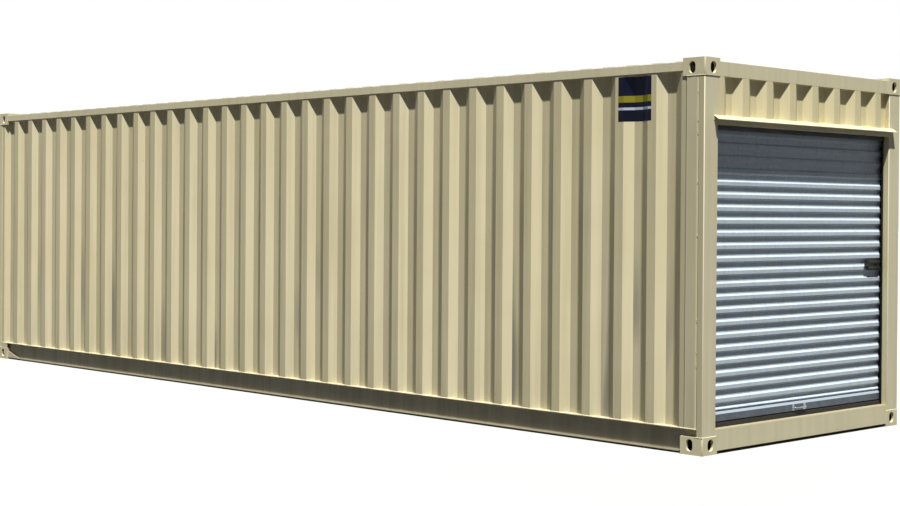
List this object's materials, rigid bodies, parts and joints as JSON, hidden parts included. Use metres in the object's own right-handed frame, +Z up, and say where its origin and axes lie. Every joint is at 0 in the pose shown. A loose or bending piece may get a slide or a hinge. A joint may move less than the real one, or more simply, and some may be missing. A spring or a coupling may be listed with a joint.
{
  "type": "shipping container with roll-up door",
  "caption": "Long corrugated steel storage container with corner castings, a plank floor and a ribbed roll-up door with a sliding latch in one end.",
  "frame": {"origin": "middle of the footprint, at the level of the bottom corner castings' lower faces", "axes": "+X along the length towards the door end, +Y to the right as seen facing the door, +Z up"},
  "size_m": [9.161, 2.438, 2.591],
  "materials": {
    "tan_enamel": "weathered tan enamel",
    "casting_enamel": "worn tan enamel on cast steel",
    "plywood": "oiled plywood",
    "underframe_paint": "dull dark underframe coating",
    "guide_steel": "dull dark coating",
    "galvanised_sheet": "bright zinc coating",
    "bar_metal": "dull zinc coating",
    "pull_metal": "zinc plated rod",
    "seal_rubber": "matt black rubber",
    "latch_black": "black powder coat"
  },
  "bodies": {
    "container": {"casting_door_left_bottom": "casting_enamel", "casting_door_left_top": "casting_enamel", "casting_door_right_bottom": "casting_enamel", "casting_door_right_top": "casting_enamel", "casting_back_left_bottom": "casting_enamel", "casting_back_left_top": "casting_enamel", "casting_back_right_bottom": "casting_enamel", "casting_back_right_top": "casting_enamel", "door_post_left": "tan_enamel", "door_post_right": "tan_enamel", "back_post_left": "tan_enamel", "back_post_right": "tan_enamel", "jamb_left": "tan_enamel", "jamb_right": "tan_enamel", "door_top_rail": "tan_enamel", "door_sill": "tan_enamel", "back_top_rail": "tan_enamel", "back_bottom_rail": "tan_enamel", "top_rail_left": "tan_enamel", "top_rail_right": "tan_enamel", "bottom_rail_left": "tan_enamel", "bottom_rail_right": "tan_enamel", "rail_gussets": "tan_enamel", "side_wall_left": "tan_enamel", "side_wall_right": "tan_enamel", "back_wall": "tan_enamel", "transom_panel": "tan_enamel", "lintel": "tan_enamel", "drip_cap": "tan_enamel", "roof_panel": "tan_enamel", "floor_deck": "plywood", "cross_members": "underframe_paint", "guide_left": "guide_steel", "guide_right": "guide_steel", "door_curtain": "galvanised_sheet", "bottom_bar": "bar_metal", "bottom_seal": "seal_rubber", "lintel_strip": "seal_rubber", "pull_handle": "pull_metal", "latch_plate": "latch_black"},
    "bolt": {"latch_bolt": "latch_black"}
  },
  "joints": [
    {"name": "latch_slide", "type": "slide", "parent": "container", "child": "bolt", "axis": [0, 1, 0], "range_m": [-0.045, 0]}
  ]
}
